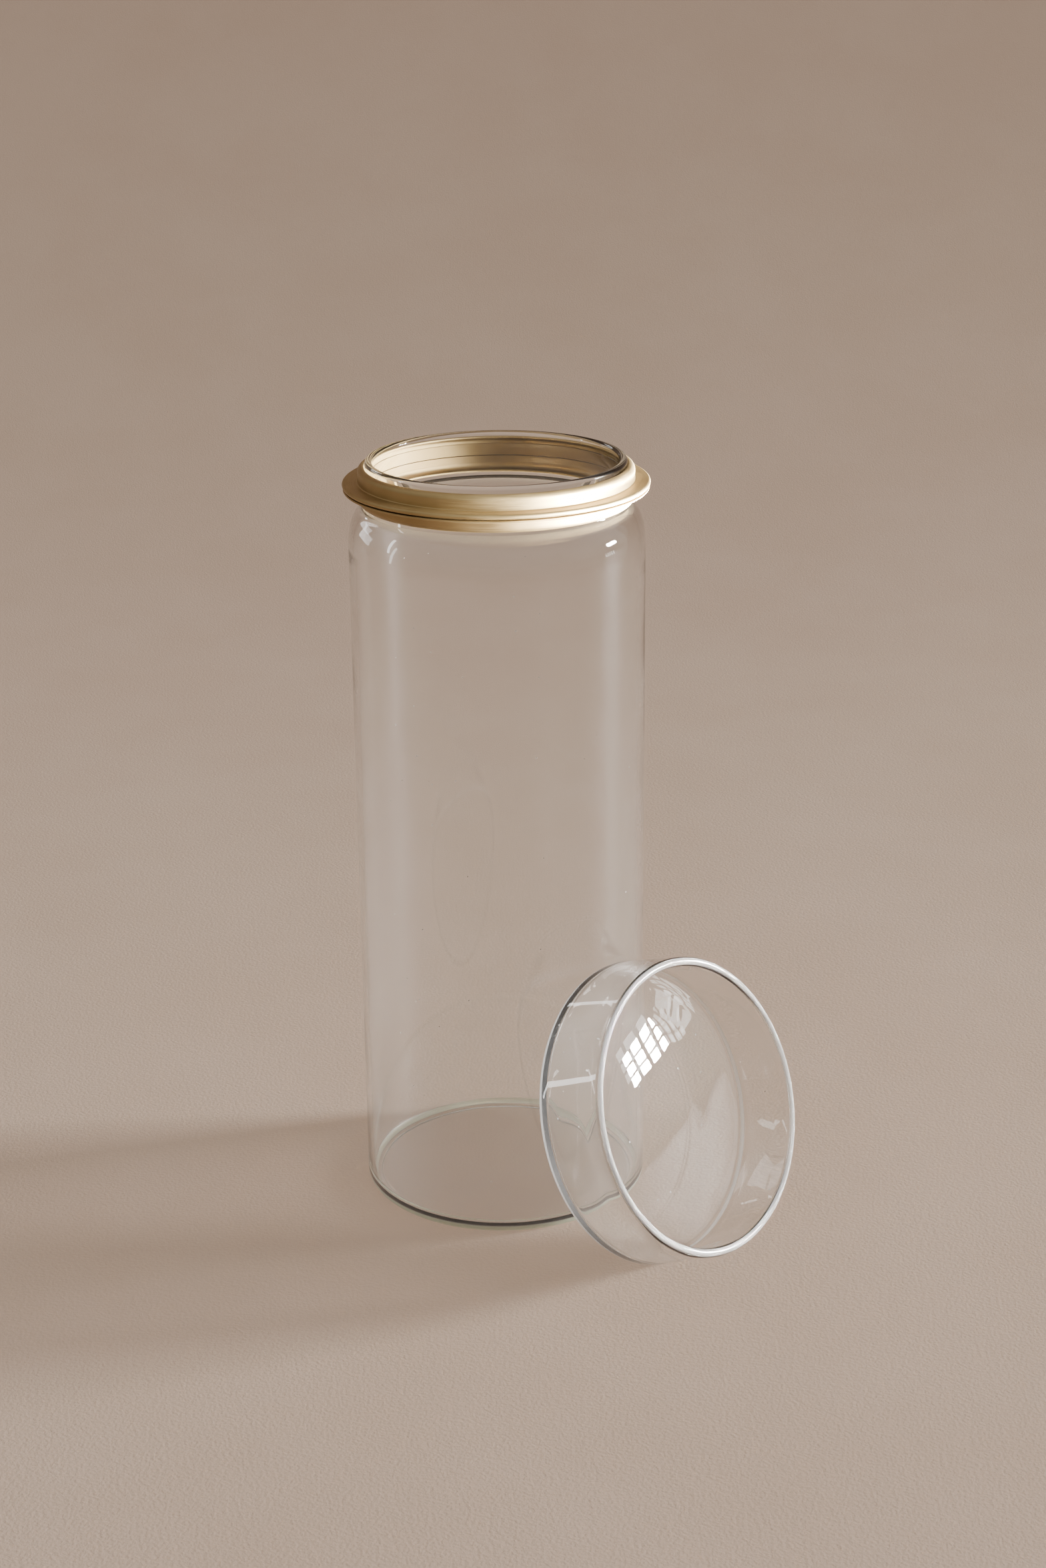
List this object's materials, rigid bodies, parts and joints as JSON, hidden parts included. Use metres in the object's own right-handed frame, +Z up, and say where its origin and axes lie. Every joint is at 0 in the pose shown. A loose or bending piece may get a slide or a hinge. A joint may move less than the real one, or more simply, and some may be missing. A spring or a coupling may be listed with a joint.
{
  "type": "lidded glass canister",
  "caption": "Tall round clear glass jar with a satin brass collar round its mouth and a loose shallow glass cap leaning on it.",
  "frame": {"origin": "centre of the jar's flat underside, on the surface it stands on", "axes": "+Z up along the jar's axis; the cap stands on the +X side, its axis parallel to the XZ plane"},
  "size_m": [0.164, 0.1113, 0.2645],
  "materials": {
    "jar_glass": "clear, polished",
    "cap_glass": "clear, polished",
    "satin_brass": "satin, spun",
    "seam_brass": "satin, spun",
    "clear_silicone": "clear, matt"
  },
  "bodies": {
    "jar": {"jar_body": "jar_glass", "collar_upper_shell": "satin_brass", "collar_lower_shell": "seam_brass", "collar_bond_ring": "clear_silicone"},
    "lid": {"lid_cap": "cap_glass"}
  },
  "joints": [
    {"name": "cap_lift", "type": "slide", "parent": "jar", "child": "lid", "axis": [0.9245, 0, 0.3811], "range_m": [0, 0.15]}
  ]
}
